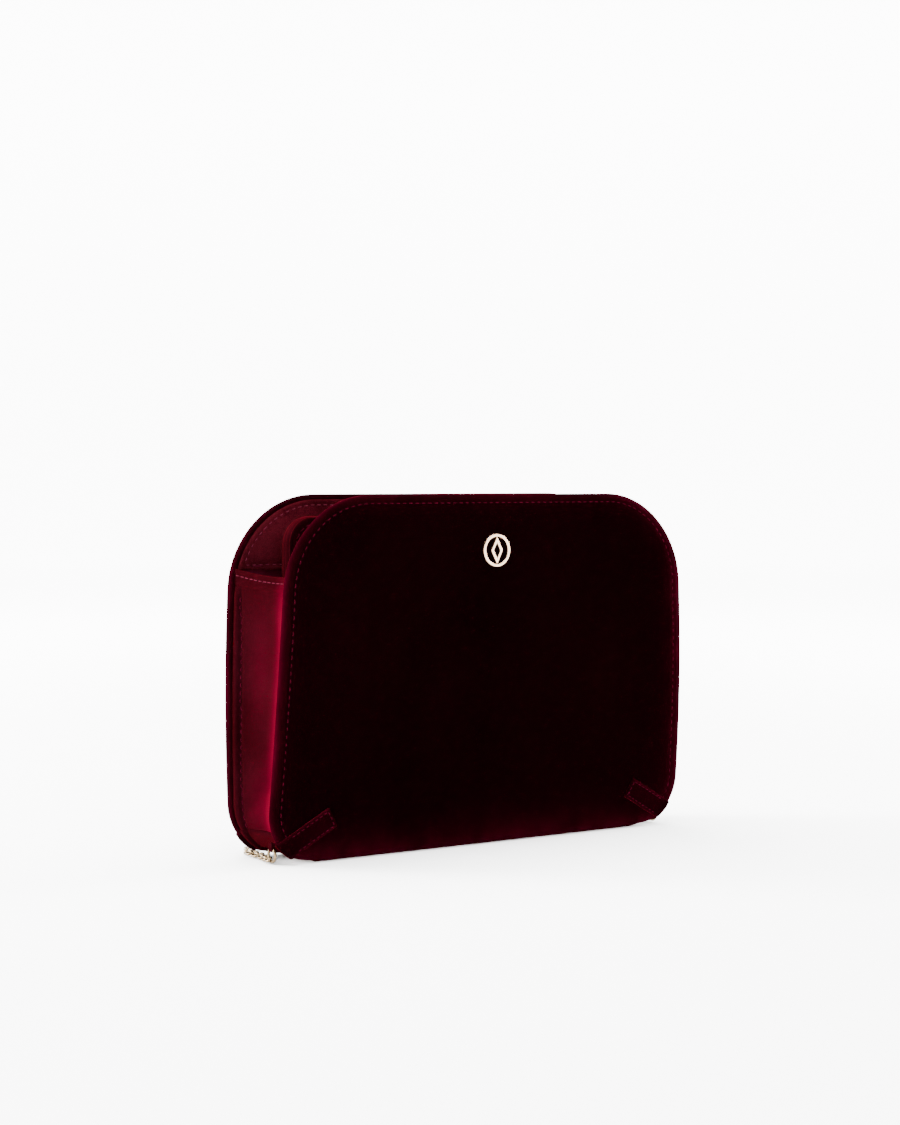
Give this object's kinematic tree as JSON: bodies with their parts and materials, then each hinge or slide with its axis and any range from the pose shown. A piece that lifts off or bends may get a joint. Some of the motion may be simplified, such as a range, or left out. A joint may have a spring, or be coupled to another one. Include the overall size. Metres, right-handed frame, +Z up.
{
  "type": "makeup bag",
  "caption": "Open-topped velvet makeup bag with stiff rounded panels, leather end gussets, zipped divider, round ornament and a fine carrying chain.",
  "frame": {"origin": "middle of the bag's foot, on the ground", "axes": "+X across the bag to its right, -Y out of the front panel, +Z up"},
  "size_m": [0.2092, 0.0938, 0.146],
  "materials": {
    "velvet": "deep burgundy cotton velvet with a short dense pile",
    "leather": "smooth burgundy leather, softly polished",
    "lining": "dark burgundy woven lining",
    "board": "stiffening board of pressed fibre",
    "pale_gold": "polished pale gold plating",
    "tape": "woven zip tape",
    "magnet": "plated magnet disc"
  },
  "bodies": {
    "root": {"velvet_back": "velvet", "velvet_base": "velvet", "back_board": "board", "base_board": "board", "back_lining": "lining", "base_lining": "lining", "back_facing": "leather", "gusset_left": "leather", "gusset_right": "leather", "gusset_lining_left": "lining", "gusset_lining_right": "lining", "tab_back_left": "velvet", "tab_back_right": "velvet", "strap_left": "velvet", "strap_right": "velvet", "ring_left": "pale_gold", "ring_right": "pale_gold", "ring_keeper_left": "leather", "ring_keeper_right": "leather", "chain_left": "pale_gold", "chain_coil": "pale_gold", "chain_right": "pale_gold", "magnet_back": "magnet", "slip_pocket": "lining"},
    "front": {"velvet_front": "velvet", "front_board": "board", "front_lining": "lining", "front_facing": "leather", "tab_front_left": "velvet", "tab_front_right": "velvet", "magnet_front": "magnet", "emblem_ring": "pale_gold", "emblem_lozenge": "pale_gold", "emblem_posts": "pale_gold", "emblem_plate": "pale_gold"},
    "divider": {"divider_front_leaf": "leather", "divider_back_leaf": "leather", "divider_band": "leather", "zip_tape_front": "tape", "zip_tape_back": "tape", "zip_teeth_front": "pale_gold", "zip_teeth_back": "pale_gold", "zip_stops": "pale_gold"},
    "slider": {"zip_slider": "pale_gold", "puller_pin": "pale_gold"},
    "puller": {"zip_puller": "pale_gold"}
  },
  "joints": [
    {"name": "front_close", "type": "hinge", "parent": "root", "child": "front", "pos_m": [0, -0.01196, 0.0032], "axis": [-1, 0, 0], "range_deg": [0, 10], "deforming": ["gusset_left", "gusset_right", "gusset_lining_left", "gusset_lining_right", "strap_left", "strap_right"]},
    {"name": "divider_lean", "type": "hinge", "parent": "root", "child": "divider", "pos_m": [0, 0, 0.004], "axis": [-1, 0, 0], "range_deg": [0, 5]},
    {"name": "zip_run", "type": "slide", "parent": "divider", "child": "slider", "axis": [-1, 0, 0], "range_m": [0, 0.12]},
    {"name": "puller_flip", "type": "hinge", "parent": "slider", "child": "puller", "pos_m": [0.05525, 0, 0.13965], "axis": [0, 1, 0], "range_deg": [0, 170]}
  ],
  "couplings": [
    {"joint": "divider_lean", "follows": "front_close", "ratio": 0.5}
  ]
}
